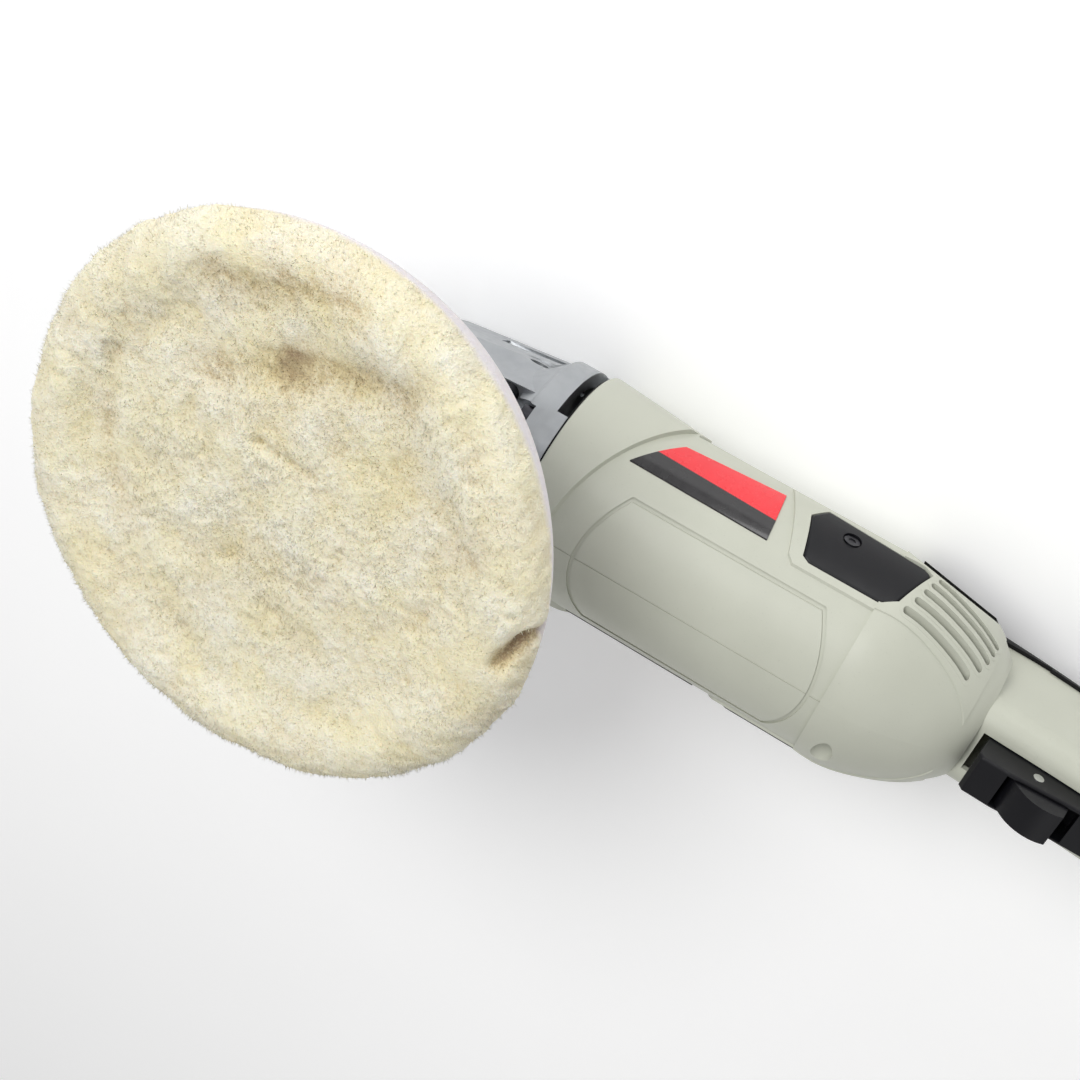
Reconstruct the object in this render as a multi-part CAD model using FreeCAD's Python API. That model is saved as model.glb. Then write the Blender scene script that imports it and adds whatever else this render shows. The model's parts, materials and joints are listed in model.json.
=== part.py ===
import FreeCAD, Part
import math
import os

# Rotary polisher lying on its back, in millimetres.
# Origin: spindle axis, on the plane it rests on (flat top of the gear case).
# +Z: along the spindle, out of the pad. +X: towards the rear handle. +Y: the user's left side.

V = FreeCAD.Vector
X_DIR = V(1, 0, 0)
Y_DIR = V(0, 1, 0)
Z_DIR = V(0, 0, 1)
TOUCH = 0.3                 # gap between parts of different bodies
RUN_FIT = 0.03              # radial running clearance of shafts

# Driving dimensions
MOTOR_Z = 48.0              # height of the motor axis above the rest plane
CASE_X = 45.0               # front of the gear case flange
CASE_END = 60.6             # rear of the gear case flange
CASE_R = 45.0
CASE_BOTTOM = 66.0          # joint between gear case and bearing box
CASE_SIDE_TILT = 20.0       # degrees that the side facets lean in
HOUSING_X = 61.4            # front edge of the motor housing
SEAM_X = 193.0              # joint between motor housing and handle shells
HOUSING_R = 44.2
COLLAR_R = 46.2
PLATFORM_R = 45.2
HOUSING_BORE = 39.6
FLAT_ANGLE = 117.5          # direction of the side flats, from +Z round the motor axis
FLAT_R = 41.3               # distance of the side flats from the motor axis
HANDLE_SLOPE = 7.0          # degrees that the handle leans towards the pad side
HANDLE_X = 250.0            # where the sloping handle starts
WALL = 2.6
STRIP = 1.6                 # thickness of the rubber rest strip
STRIP_DROP = 23.5           # edge of the strip below the motor axis

PAD_R = 88.0                # 180 mm class backing pad
PAD_BACK = 126.0
PAD_FRONT = 150.0
BONNET_R = 107.4
BONNET_Z = 160.0            # plane of the bonnet's largest radius
BONNET_FRONT = 174.0

GEAR_TEETH = 40
PINION_TEETH = 10
GEAR_PITCH_R = 28.0
PINION_PITCH_R = GEAR_PITCH_R * PINION_TEETH / GEAR_TEETH
FACE_START = 0.724          # inner end of the teeth as a share of the cone distance

BRUSH_X = 178.0
LOCK_PIN_X = 15.8
LOCK_PIN_R = 2.0


# ---------------------------------------------------------------- helpers
def cyl(radius, length, base, direction):
    return Part.makeCylinder(radius, length, V(*base), direction)


def xcyl(radius, x0, x1, y=0.0, z=MOTOR_Z):
    return cyl(radius, x1 - x0, (x0, y, z), X_DIR)


def zcyl(radius, z0, z1, x=0.0, y=0.0):
    return cyl(radius, z1 - z0, (x, y, z0), Z_DIR)


def xtube(outer, inner, x0, x1, y=0.0, z=MOTOR_Z):
    return xcyl(outer, x0, x1, y, z).cut(xcyl(inner, x0 - 1, x1 + 1, y, z))


def ztube(outer, inner, z0, z1, x=0.0, y=0.0):
    return zcyl(outer, z0, z1, x, y).cut(zcyl(inner, z0 - 1, z1 + 1, x, y))


def block(x0, x1, y0, y1, z0, z1):
    return Part.makeBox(x1 - x0, y1 - y0, z1 - z0, V(x0, y0, z0))


def polygon(points):
    corners = [V(*p) for p in points]
    return Part.makePolygon(corners + corners[:1])


def prism(points, direction):
    return Part.Face(polygon(points)).extrude(direction)


def spin_profile(points, axis_point, axis):
    """Solid of revolution of a closed polygon."""
    return Part.Face(polygon(points)).revolve(V(*axis_point), axis, 360)


def fused(shapes):
    whole = shapes[0]
    if len(shapes) > 1:
        whole = shapes[0].fuse(shapes[1:])
    return whole.removeSplitter()


def rounded(shape, radius, choose):
    """Fillet the edges that the test function picks."""
    return shape.makeFillet(radius, [e for e in shape.Edges if choose(e)])


def is_along(edge, direction):
    if not isinstance(edge.Curve, (Part.Line, Part.LineSegment)):
        return False
    return abs(edge.tangentAt(edge.FirstParameter).dot(direction)) > 0.999


def mirrored(shape):
    """The same shape on the other side of the plane y = 0."""
    return shape.mirror(V(0, 0, 0), Y_DIR)


def save(name, shapes):
    solids = [s for shape in shapes for s in shape.Solids]
    shape = solids[0] if len(solids) == 1 else Part.makeCompound(solids)
    shape.exportStep("parts/" + name + ".step")
    print(name, len(solids), round(shape.Volume), shape.isValid())


def handle_frame(shape):
    """Lean a shape, drawn on a level handle, by the slope of the handle."""
    leaned = shape.copy()
    leaned.rotate(V(HANDLE_X, 0, MOTOR_Z), Y_DIR, -HANDLE_SLOPE)
    return leaned


def screw(radius, length, head_r, head_h):
    """Cap screw along -Z from its head's seat at the origin, with a hexagon socket."""
    head = zcyl(head_r, 0, head_h)
    shank = zcyl(radius, -length, 0)
    socket_r = head_r * 0.5
    corners = [math.radians(60 * k) for k in range(6)]
    outline = [(socket_r * math.cos(a), socket_r * math.sin(a), head_h * 0.4) for a in corners]
    return fused([head, shank]).cut(prism(outline, V(0, 0, head_h)))


def placed(shape, point, direction):
    """Turn a shape drawn along +Z to a direction and put it at a point."""
    moved = shape.copy()
    moved.Placement = FreeCAD.Placement(V(*point), FreeCAD.Rotation(Z_DIR, direction))
    return moved


def ball_bearing(outer, inner, width, balls):
    """Two grooved rings and their balls, along +Z from the origin."""
    middle = (outer + inner) / 2
    ball_r = (outer - inner) * 0.27
    groove = Part.makeTorus(middle, ball_r + 0.05, V(0, 0, width / 2), Z_DIR)
    outer_ring = ztube(outer, middle + ball_r * 0.55, 0, width).cut(groove)
    inner_ring = ztube(middle - ball_r * 0.55, inner, 0, width).cut(groove)
    shapes = [outer_ring, inner_ring]
    for k in range(balls):
        turn = 2 * math.pi * k / balls
        centre = V(middle * math.cos(turn), middle * math.sin(turn), width / 2)
        shapes.append(Part.makeSphere(ball_r, centre))
    return Part.makeCompound(shapes)


def coil_spring(radius, wire, length, turns):
    """Compression spring along +Z: flat rings joined by short posts, one solid."""
    pitch = (length - wire) / (turns - 1)
    rings = [Part.makeTorus(radius, wire / 2, V(0, 0, wire / 2 + k * pitch)) for k in range(turns)]
    posts = []
    for k in range(turns - 1):
        side = radius if k % 2 else -radius
        posts.append(zcyl(wire * 0.4, wire / 2 + k * pitch, wire / 2 + (k + 1) * pitch, side, 0))
    return fused(rings + posts)


# ---------------------------------------------------------------- pad and spindle
def wool_bonnet():
    """Closed solid of the stuffed wool cover: face, rolled rim, and skirt behind the pad."""
    inside = PAD_R + 0.2
    sunken = BONNET_FRONT - 6
    face_edge = V(76, 0, sunken)
    crest = V(92, 0, BONNET_FRONT)
    rim = V(BONNET_R, 0, BONNET_Z)
    skirt = V(95.5, 0, 137)
    hem = V(85, 0, 123)
    edges = [
        Part.makeLine(V(0, 0, sunken), face_edge),
        Part.Arc(face_edge, V(84, 0, BONNET_FRONT - 2.2), crest).toShape(),
        Part.Arc(crest, V(103.5, 0, BONNET_FRONT - 4.4), rim).toShape(),
        Part.Arc(rim, V(102.8, 0, 149), skirt).toShape(),
        Part.makeLine(skirt, hem),
    ]
    corners = [hem, V(79, 0, 123), V(79, 0, PAD_BACK - 0.2), V(inside, 0, PAD_BACK + 5.8),
               V(inside, 0, PAD_FRONT + 0.2), V(0, 0, PAD_FRONT + 0.2), V(0, 0, sunken)]
    for first, second in zip(corners, corners[1:]):
        edges.append(Part.makeLine(first, second))
    return Part.Face(Part.Wire(edges)).revolve(V(0, 0, 0), Z_DIR, 360)


def backing_pad():
    """Foam-faced disc with a stiff hub moulded round the steel nut."""
    profile = [
        (13.2, 0, PAD_BACK - 8), (24, 0, PAD_BACK - 8), (30, 0, PAD_BACK), (78, 0, PAD_BACK),
        (PAD_R, 0, PAD_BACK + 6), (PAD_R, 0, PAD_FRONT), (0, 0, PAD_FRONT), (0, 0, 133),
        (22.2, 0, 133), (22.2, 0, 129), (13.2, 0, 129),
    ]
    return spin_profile(profile, (0, 0, 0), Z_DIR)


def backing_pad_nut():
    """M14 steel insert with a flange that the pad is moulded round."""
    barrel = zcyl(13, PAD_BACK - 10, 133)
    flange = zcyl(22, 129, 133)
    return fused([barrel, flange]).cut(zcyl(7, PAD_BACK - 11, 131))


def spindle():
    steps = [
        (4 - RUN_FIT, 6, 16), (8, 16, 67), (10, 67, 71.8), (7.5 - RUN_FIT, 71.8, 84.5),
        (9, 84.5, 96), (11.5, 99, 106), (7, 106, 130),
    ]
    body = fused([zcyl(r, z0, z1) for r, z0, z1 in steps] + [zcyl(9, 95, 99.5)])
    for side in (-1, 1):
        flat = block(-14, 14, 8.5 if side > 0 else -14, 14 if side > 0 else -8.5, 99.2, 106)
        body = body.cut(flat)
    for k in range(15):
        groove_z = 108.0 + 1.4 * k
        body = body.cut(ztube(8, 6.6, groove_z, groove_z + 0.5))
    return body


def bevel_tooth(pitch_angle, cone, section):
    """One straight tooth about +Z with its apex at the origin; section: (half width, height)."""
    along = V(math.sin(pitch_angle), 0, math.cos(pitch_angle))
    outward = V(math.cos(pitch_angle), 0, -math.sin(pitch_angle))
    ends = []
    for share in (FACE_START, 1.0):
        corners = []
        for half, height in section:
            corners.append(along * (cone * share) + outward * (height * share) + Y_DIR * (half * share))
        for half, height in reversed(section):
            corners.append(along * (cone * share) + outward * (height * share) - Y_DIR * (half * share))
        ends.append(Part.makePolygon(corners + corners[:1]))
    return Part.makeLoft(ends, True, True)


def gear_teeth(count, pitch_angle, cone, section, phase):
    teeth = []
    for k in range(count):
        tooth = bevel_tooth(pitch_angle, cone, section)
        tooth.rotate(V(0, 0, 0), Z_DIR, 360.0 * (k + phase) / count)
        teeth.append(tooth)
    return teeth


CONE = math.hypot(GEAR_PITCH_R, PINION_PITCH_R)
GEAR_ANGLE = math.atan2(GEAR_PITCH_R, PINION_PITCH_R)
PINION_ANGLE = math.pi / 2 - GEAR_ANGLE
ROOT_DEPTH = 1.6


def root_point(angle, share):
    """Radius and height of the root cone at a share of the cone distance."""
    radius = (CONE * math.sin(angle) - ROOT_DEPTH * math.cos(angle)) * share
    height = (CONE * math.cos(angle) + ROOT_DEPTH * math.sin(angle)) * share
    return radius, height


def bevel_gear():
    """Ring gear on the spindle, its teeth facing the rest plane."""
    r_in, h_in = root_point(GEAR_ANGLE, FACE_START)
    r_out, h_out = root_point(GEAR_ANGLE, 1.0)
    back = 16.5
    profile = [
        (8, 0, 5), (12, 0, 5), (12, 0, 8), (r_in - 1.5, 0, 8), (r_in, 0, h_in), (r_out, 0, h_out),
        (r_out - 1.5, 0, back), (8, 0, back),
    ]
    body = spin_profile(profile, (0, 0, 0), Z_DIR)
    section = [(1.1, -ROOT_DEPTH - 0.3), (0.62, 0.0), (0.36, 0.95)]
    wheel = body.fuse(gear_teeth(GEAR_TEETH, GEAR_ANGLE, CONE, section, 0.0))
    for k in range(4):
        turn = math.pi * k / 2
        hole = zcyl(LOCK_PIN_R + 0.4, 0, back + 1, LOCK_PIN_X * math.cos(turn), LOCK_PIN_X * math.sin(turn))
        wheel = wheel.cut(hole)
    wheel.translate(V(0, 0, MOTOR_Z))
    return wheel


def bevel_pinion():
    """Small gear on the motor shaft, half a tooth out of line so that it meshes at rest."""
    r_in, h_in = root_point(PINION_ANGLE, FACE_START)
    r_out, h_out = root_point(PINION_ANGLE, 1.0)
    profile = [
        (3, 0, h_in), (r_in, 0, h_in), (r_out, 0, h_out), (r_out, 0, h_out + 3.5), (3, 0, h_out + 3.5),
    ]
    body = spin_profile(profile, (0, 0, 0), Z_DIR)
    section = [(0.95, -ROOT_DEPTH - 0.3), (0.6, 0.0), (0.3, 0.95)]
    wheel = body.fuse(gear_teeth(PINION_TEETH, PINION_ANGLE, CONE, section, 0.5))
    wheel.rotate(V(0, 0, 0), Y_DIR, 90)
    wheel.translate(V(0, 0, MOTOR_Z))
    return wheel


# ---------------------------------------------------------------- gear case
CASE_PLAN = [(46, 39), (0, 36), (-26, 34), (-37, 21)]
BOX_SCREWS = [(-26.5, 25), (-26.5, -25), (26.5, 28), (26.5, -28)]
FLANGE_SCREW_ANGLES = [52, 140, 220, 308]      # from +Z, round the motor axis
FLANGE_SCREW_R = 40.9
FLANGE_SCREW_SIZE = 2.0
EXHAUST_WINDOWS = [(60, 128), (152, 176), (184, 208), (232, 300)]
WINDOW_X = 55.8
BOX_END = 38.0                                 # rear end of the bearing box
SIDE_HOLE = (33.0, 36.6, 40.0)                 # mouth of the side handle thread
SIDE_HOLE_R = 4.0
SIDE_HOLE_DEPTH = 14.0


def side_hole_direction(side):
    tilt = math.radians(CASE_SIDE_TILT)
    return V(0, side * math.cos(tilt), -math.sin(tilt))


def on_circle(radius, angle):
    """Y and Z of a point round the motor axis, the angle counted from +Z towards +Y."""
    turn = math.radians(angle)
    return radius * math.sin(turn), MOTOR_Z + radius * math.cos(turn)


def plan_prism(z0, z1, inset=0.0):
    half = [(x if x > 40 else x + inset * 0.6, y - inset) for x, y in CASE_PLAN]
    outline = half + [(x, -y) for x, y in reversed(half)]
    return prism([(x, y, z0) for x, y in outline], V(0, 0, z1 - z0))


def gear_case_outside():
    head = plan_prism(0, CASE_BOTTOM)
    for side in (-1, 1):
        cutter = block(-80, 60, 0, 60, -80, 80)
        cutter.rotate(V(0, 0, 0), X_DIR, -CASE_SIDE_TILT)
        cutter.rotate(V(0, 0, 0), Z_DIR, 7)
        cutter.translate(V(0, 36.5, MOTOR_Z))
        head = head.cut(cutter if side > 0 else mirrored(cutter))
    nose = block(-80, 0, -60, 60, -60, 60)
    nose.rotate(V(0, 0, 0), Y_DIR, -30)
    nose.translate(V(-37, 0, 34))
    head = head.cut(nose)
    head = rounded(head, 5, is_cast_edge)
    gusset = Part.makeCone(28, 43.5, 27, V(18, 0, MOTOR_Z), X_DIR)
    flange = xcyl(CASE_R, CASE_X, CASE_END)
    flange = rounded(flange, 1.5, lambda e: e.CenterOfMass.x < CASE_X + 1)
    lower = gusset.common(block(0, 60, -60, 60, 0, CASE_BOTTOM))
    upper = gusset.common(block(BOX_END + 1, 60, -60, 60, 0, 100))
    return fused([head, lower, upper, flange])


def is_cast_edge(edge):
    """The corners of the front, and the long edges of the flat top."""
    heights = [v.Z for v in edge.Vertexes]
    on_top = max(heights) < 1 and edge.CenterOfMass.x < 40
    at_front = max(heights) - min(heights) > 3 and edge.CenterOfMass.x < -20
    front_ridge = edge.CenterOfMass.x < -36 and max(heights) < 40
    return on_top or at_front or front_ridge


def gear_case():
    case = gear_case_outside()
    cavity = [
        zcyl(30.5, 49, CASE_BOTTOM + 1).fuse(Part.makeCone(12, 30.5, 33.1, V(0, 0, 16), Z_DIR)),
        zcyl(8, 5.5, 17),
        xcyl(15, 36, 47),
        xcyl(12.5, 20, 37),
        xcyl(20.2, 46, 49),
        xcyl(38.5, 48, CASE_END + 1),
        zcyl(LOCK_PIN_R + RUN_FIT, -1, 40, LOCK_PIN_X),
        zcyl(7.0, -1, 11.5, LOCK_PIN_X),
        zcyl(3.8, 11, 13.4, LOCK_PIN_X),
    ]
    case = case.cut(cavity[0]).cut(cavity[1:])
    for x, y in BOX_SCREWS:
        case = case.cut(zcyl(2.5, CASE_BOTTOM - 16, CASE_BOTTOM + 1, x, y))
    for angle in FLANGE_SCREW_ANGLES:
        y, z = on_circle(FLANGE_SCREW_R, angle)
        case = case.cut([xcyl(5.5, 8, CASE_X + 3, y, z), xcyl(FLANGE_SCREW_SIZE + 0.1, 40, CASE_END + 1, y, z)])
    for side in (-1, 1):
        mouth = (SIDE_HOLE[0], side * SIDE_HOLE[1], SIDE_HOLE[2])
        direction = side_hole_direction(side)
        hole = placed(zcyl(SIDE_HOLE_R, -SIDE_HOLE_DEPTH, 0), mouth, direction)
        face = placed(Part.makeCone(9.2, 11.5, 6, V(0, 0, 0), Z_DIR), mouth, direction)
        case = case.cut([hole, face])
    return cut_exhaust(case)


def sector(start, end, x0, x1):
    """Wedge round the motor axis between two angles counted from +Z towards +Y."""
    steps = 6
    points = [(x0, 0, MOTOR_Z)]
    for k in range(steps + 1):
        y, z = on_circle(70, start + (end - start) * k / steps)
        points.append((x0, y, z))
    return prism(points, V(x1 - x0, 0, 0))


def cut_exhaust(case):
    """Exhaust windows in the rear edge of the flange, between ribs."""
    x0, x1 = WINDOW_X, CASE_END + 1
    ring = xtube(CASE_R + 2, 38, x0, x1)
    windows = [sector(start, end, x0, x1).common(ring) for start, end in EXHAUST_WINDOWS]
    return case.cut(windows)


def spindle_upper_bearing():
    return placed(ball_bearing(8, 4, 9, 8), (0, 0, 6), Z_DIR)


def spindle_lower_bearing():
    return placed(ball_bearing(17.5, 7.5, 11, 9), (0, 0, 73), Z_DIR)


def bearing_box():
    """Black casting that closes the gear case and carries the lower spindle bearing."""
    plate = plan_prism(CASE_BOTTOM, CASE_BOTTOM + 8, 0.6)
    plate = plate.cut(block(BOX_END, 60, -60, 60, 60, 80))
    plate = rounded(plate, 4, is_standing_short)
    neck = Part.makeCone(29, 25, 22, V(0, 0, CASE_BOTTOM + 8), Z_DIR)
    box = fused([plate, neck, zcyl(23, CASE_BOTTOM + 29, CASE_BOTTOM + 32)])
    holes = [zcyl(12.5, CASE_BOTTOM - 1, 74), zcyl(17.5, 73, 84), zcyl(14, 83, 90), zcyl(9.4, 83, 110)]
    holes += [zcyl(2.6, 60, 80, x, y) for x, y in BOX_SCREWS]
    return box.cut(holes[0]).cut(holes[1:])


def is_standing_short(edge):
    ends = [v.Z for v in edge.Vertexes]
    return len(ends) == 2 and abs(ends[0] - ends[1]) > 7 and is_along(edge, Z_DIR)


def oil_seal():
    return ztube(14, 9 + 0.1, 84.2, 90)


def bearing_box_screws():
    screws = []
    for x, y in BOX_SCREWS:
        screws.append(placed(screw(2.5, 20, 4.2, 4), (x, y, CASE_BOTTOM + 8), Z_DIR))
    return screws


def gear_case_screws():
    screws = []
    for angle in FLANGE_SCREW_ANGLES:
        y, z = on_circle(FLANGE_SCREW_R, angle)
        screws.append(placed(screw(FLANGE_SCREW_SIZE, 27, 4.1, 4), (CASE_X + 3, y, z), -X_DIR))
    return screws


def bearing_retainer():
    """Steel ring that holds the front motor bearing in the gear case."""
    return xtube(20.2, 10, 46, 48)


def spindle_lock_button():
    cap = zcyl(6.7, 1.0, 4.2, LOCK_PIN_X)
    cap = rounded(cap, 1.0, lambda e: e.CenterOfMass.z < 1.1)
    return fused([cap, zcyl(3.4, 4.2, 6.0, LOCK_PIN_X)]).cut(zcyl(LOCK_PIN_R, 3.5, 7, LOCK_PIN_X))


def spindle_lock_pin():
    return zcyl(LOCK_PIN_R, 3.5, 50.5, LOCK_PIN_X)


def spindle_lock_spring():
    return placed(coil_spring(4.8, 0.9, 7.0, 4), (LOCK_PIN_X, 0, 4.4), Z_DIR)


# ---------------------------------------------------------------- motor
FRONT_BEARING_X = 36.0
REAR_BEARING_X = 189.0


def armature_shaft():
    steps = [
        (3, 20.2, 34), (6 - RUN_FIT, 34, 47), (7, 47.0, 50), (6, 50, 187),
        (4 - RUN_FIT, 187, 197.5),
    ]
    return fused([xcyl(r, x0, x1) for r, x0, x1 in steps])


def armature_core():
    """Laminated stack with slots for the windings."""
    stack = xtube(21, 6, 86, 138)
    slots = []
    for k in range(12):
        slot = block(85, 139, -1.2, 1.2, 11, 22)
        slot.rotate(V(0, 0, 0), X_DIR, 30 * k)
        slot.translate(V(0, 0, MOTOR_Z))
        slots.append(slot)
    return stack.cut(slots)


def armature_windings():
    rings = []
    for x0, x1, x_mid in ((78.5, 86, 82), (138, 149, 144)):
        ring = spin_profile(
            [(x0, 0, 6), (x1, 0, 6), (x1, 0, 18), (x_mid, 0, 19.6), (x0, 0, 15)], (0, 0, 0), X_DIR)
        ring.translate(V(0, 0, MOTOR_Z))
        rings.append(ring)
    return rings


def commutator():
    drum = xtube(13, 6, 166, 187).cut(xtube(14, 11, 182, 188))
    grooves = []
    for k in range(24):
        groove = block(165, 184, -0.25, 0.25, 11.8, 14)
        groove.rotate(V(0, 0, 0), X_DIR, 15 * k)
        groove.translate(V(0, 0, MOTOR_Z))
        grooves.append(groove)
    return drum.cut(grooves)


def cooling_fan():
    """Radial fan: back disc, hub and straight vanes."""
    parts = [xtube(10, 6, 62.5, 76), xtube(38, 6, 73, 75)]
    for k in range(14):
        vane = block(64, 74, -0.9, 0.9, 16, 37.6)
        vane.rotate(V(69, 0, 0), X_DIR, 360 * k / 14)
        vane.translate(V(0, 0, MOTOR_Z))
        parts.append(vane)
    return fused(parts)


def stator_core():
    core = xtube(HOUSING_BORE - TOUCH / 2, 22, 86, 138)
    for side in (-1, 1):
        core = core.cut(block(85, 139, side * 31 - 6, side * 31 + 6, MOTOR_Z - 12, MOTOR_Z + 12))
    return core


def field_coils():
    coils = []
    for x0, x1 in ((79.6, 85.8), (138.2, 150)):
        ring = xtube(36, 25, x0, x1)
        coils += ring.cut(block(x0 - 1, x1 + 1, -40, 40, MOTOR_Z - 6, MOTOR_Z + 6)).Solids
    return coils


def fan_baffle():
    return xtube(HOUSING_BORE - TOUCH / 2, 27, 76.3, 78)


def gasket():
    ring = xtube(CASE_R - 0.3, HOUSING_BORE - 1.2, CASE_END, HOUSING_X)
    holes = []
    for angle in FLANGE_SCREW_ANGLES:
        y, z = on_circle(FLANGE_SCREW_R, angle)
        holes.append(xcyl(FLANGE_SCREW_SIZE + 0.1, CASE_END - 1, HOUSING_X + 1, y, z))
    return ring.cut(holes)


# ---------------------------------------------------------------- motor housing and brush gear
COVER_OUTLINE = [
    (161.4, -0.8), (156.6, 7), (162, 24.5), (165, 25.8), (194, 25.8), (199, 23), (205, 4.7), (201.5, 2.4),
]
LABEL_OUTLINE = [(89.5, 24.5), (103.5, 7.0), (144.8, 3.1), (147.9, 25.2)]
COVER_SCREW = (174.0, 9.0)                     # x, and height above the motor axis
COVER_SCREW_SEAT = 43.8
COVER_INNER_R = 43.4
COVER_OUTER_R = 45.6
LABEL_INNER_R = 43.8
LABEL_OUTER_R = 44.6


def side_prism(outline, y0, y1, grow=0.0):
    """Prism along Y from an outline of (x, height above the motor axis)."""
    wire = polygon([(x, y0, MOTOR_Z + z) for x, z in outline])
    if grow:
        wire = wire.makeOffset2D(grow)
    return Part.Face(wire).extrude(V(0, y1 - y0, 0))


def shoulder_cut():
    """Everything behind the slanted rear edge of the front collar."""
    slope = 0.55
    outline = [(98.7 + 60 * slope, -60), (98.7 - 60 * slope, 60), (300, 60), (300, -60)]
    return side_prism(outline, -60, 60)


def side_flats(grow=0.0):
    """Everything outside the flats that narrow the body on the side away from the pad."""
    profile = [(60, 46.4), (104, 42.2), (104, FLAT_R), (SEAM_X, FLAT_R), (226, 35.4), (242, 32.6)]
    outline = [(x, -60, r + grow) for x, r in profile] + [(242, -60, 70), (60, -60, 70)]
    cutters = []
    for angle in (FLAT_ANGLE, -FLAT_ANGLE):
        cutter = prism(outline, V(0, 120, 0))
        cutter.rotate(V(0, 0, 0), X_DIR, -angle)
        cutter.translate(V(0, 0, MOTOR_Z))
        cutters.append(cutter)
    return cutters


def platform_zone():
    """The raised zone round the brush covers, seen from the side."""
    outline = [(147 - 60 * 0.39, -60), (147 + 26 * 0.39, 26), (160, 28.3), (SEAM_X, 28.3), (SEAM_X, -60)]
    return side_prism(outline, -60, 60)


def grip_panel_groove():
    """Shallow groove round the D-shaped panel on the pad side."""
    half, x0, x1, bulge = 28.4, 98.4, 178.0, 10.0
    corners = [V(x0, -half, 0), V(x1, -half, 0), V(x1, half, 0), V(x0, half, 0)]
    wire = Part.Wire([
        Part.makeLine(corners[0], corners[1]),
        Part.Arc(corners[1], V(x1 + bulge, 0, 0), corners[2]).toShape(),
        Part.makeLine(corners[2], corners[3]),
        Part.Arc(corners[3], V(x0 - bulge, 0, 0), corners[0]).toShape(),
    ])
    outer = Part.Face(wire.makeOffset2D(0.8)).extrude(V(0, 0, 40))
    inner = Part.Face(wire.makeOffset2D(-0.8)).extrude(V(0, 0, 40))
    outer.translate(V(0, 0, MOTOR_Z + 20))
    inner.translate(V(0, 0, MOTOR_Z + 20))
    return outer.cut(inner).common(xtube(HOUSING_R + 3, HOUSING_R - 0.7, 80, 192))


def motor_housing():
    barrel = xcyl(HOUSING_R, HOUSING_X, SEAM_X)
    collar = xcyl(COLLAR_R, HOUSING_X, 132).cut(shoulder_cut())
    platform = xcyl(PLATFORM_R, 120, SEAM_X).common(platform_zone())
    body = fused([barrel, collar, platform])
    body = rounded(body, 1.2, lambda e: e.CenterOfMass.x < HOUSING_X + 0.2)
    body = body.cut(side_flats())
    body = body.cut(xcyl(HOUSING_BORE, HOUSING_X - 1, SEAM_X + 1))
    wall = xtube(HOUSING_BORE + 1, 11, 187, 191).fuse(xtube(14, 11, 187, 197))
    windows = []
    for k in range(6):
        window = block(186, 192, -9, 9, 20, 36)
        window.rotate(V(0, 0, 0), X_DIR, 60 * k)
        window.translate(V(0, 0, MOTOR_Z))
        windows.append(window)
    body = fused([body, wall.cut(windows)])
    body = body.cut(grip_panel_groove())
    body = body.cut(block(HOUSING_X, SEAM_X, -0.25, 0.25, MOTOR_Z + HOUSING_R - 0.3, MOTOR_Z + 50))
    for angle in FLANGE_SCREW_ANGLES:
        y, z = on_circle(FLANGE_SCREW_R, angle)
        boss = xcyl(4.6, HOUSING_X, 76, y, z).common(xtube(HOUSING_BORE + 1, 38.4, HOUSING_X, 76))
        body = body.fuse(boss)
        body = body.cut(xcyl(FLANGE_SCREW_SIZE + 0.1, HOUSING_X - 1, 76.5, y, z))
    return cut_side_pockets(body)


def cut_side_pockets(body):
    """Seats of the brush covers and of the label plates."""
    cover_seat = side_prism(COVER_OUTLINE, 20, 60, 0.15).cut(xcyl(COVER_INNER_R, 150, 210))
    label_seat = side_prism(LABEL_OUTLINE, 20, 60, 0.1).cut(xcyl(LABEL_INNER_R, 80, 150))
    screw_hole = cyl(1.4, 30, (COVER_SCREW[0], 30, MOTOR_Z + COVER_SCREW[1]), Y_DIR)
    for tool in (cover_seat, label_seat, screw_hole):
        body = body.cut([tool, mirrored(tool)])
    return body


def brush_cover():
    cover = side_prism(COVER_OUTLINE, 20, 60)
    cover = cover.common(xcyl(COVER_OUTER_R, 150, 210))
    cover = cover.makeFillet(2.2, [e for e in cover.Edges if is_along(e, Y_DIR) and e.CenterOfMass.y > 0])
    rim = [e for e in cover.Edges if abs(edge_radius(e) - COVER_OUTER_R) < 0.02]
    cover = cover.makeFillet(1.3, rim)
    cover = cover.cut(xcyl(COVER_INNER_R, 150, 210))
    x, z = COVER_SCREW
    hole = cyl(1.8, 40, (x, 30, MOTOR_Z + z), Y_DIR)
    recess = cyl(3.6, 20, (x, COVER_SCREW_SEAT, MOTOR_Z + z), Y_DIR)
    return cover.cut([hole, recess])


def edge_radius(edge):
    middle = edge.valueAt((edge.FirstParameter + edge.LastParameter) / 2)
    return math.hypot(middle.y, middle.z - MOTOR_Z)


def brush_cover_screws():
    x, z = COVER_SCREW
    one = placed(screw(1.4, 6, 3.1, 0.7), (x, COVER_SCREW_SEAT, MOTOR_Z + z), Y_DIR)
    return [one, mirrored(one)]


def label_plate():
    return side_prism(LABEL_OUTLINE, 20, 60).common(xtube(LABEL_OUTER_R, LABEL_INNER_R, 80, 150))


def both_sides(shape):
    return [shape, mirrored(shape)]


def brush_holder():
    box = block(BRUSH_X - 6.5, BRUSH_X + 6.5, 15, 37, MOTOR_Z - 5.2, MOTOR_Z + 5.2)
    flange = block(BRUSH_X - 8, BRUSH_X + 8, 33, 37, MOTOR_Z - 7, MOTOR_Z + 7)
    channel = block(BRUSH_X - 4.6, BRUSH_X + 4.6, 14, 38, MOTOR_Z - 3.3, MOTOR_Z + 3.3)
    return fused([box, flange]).cut(channel)


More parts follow.
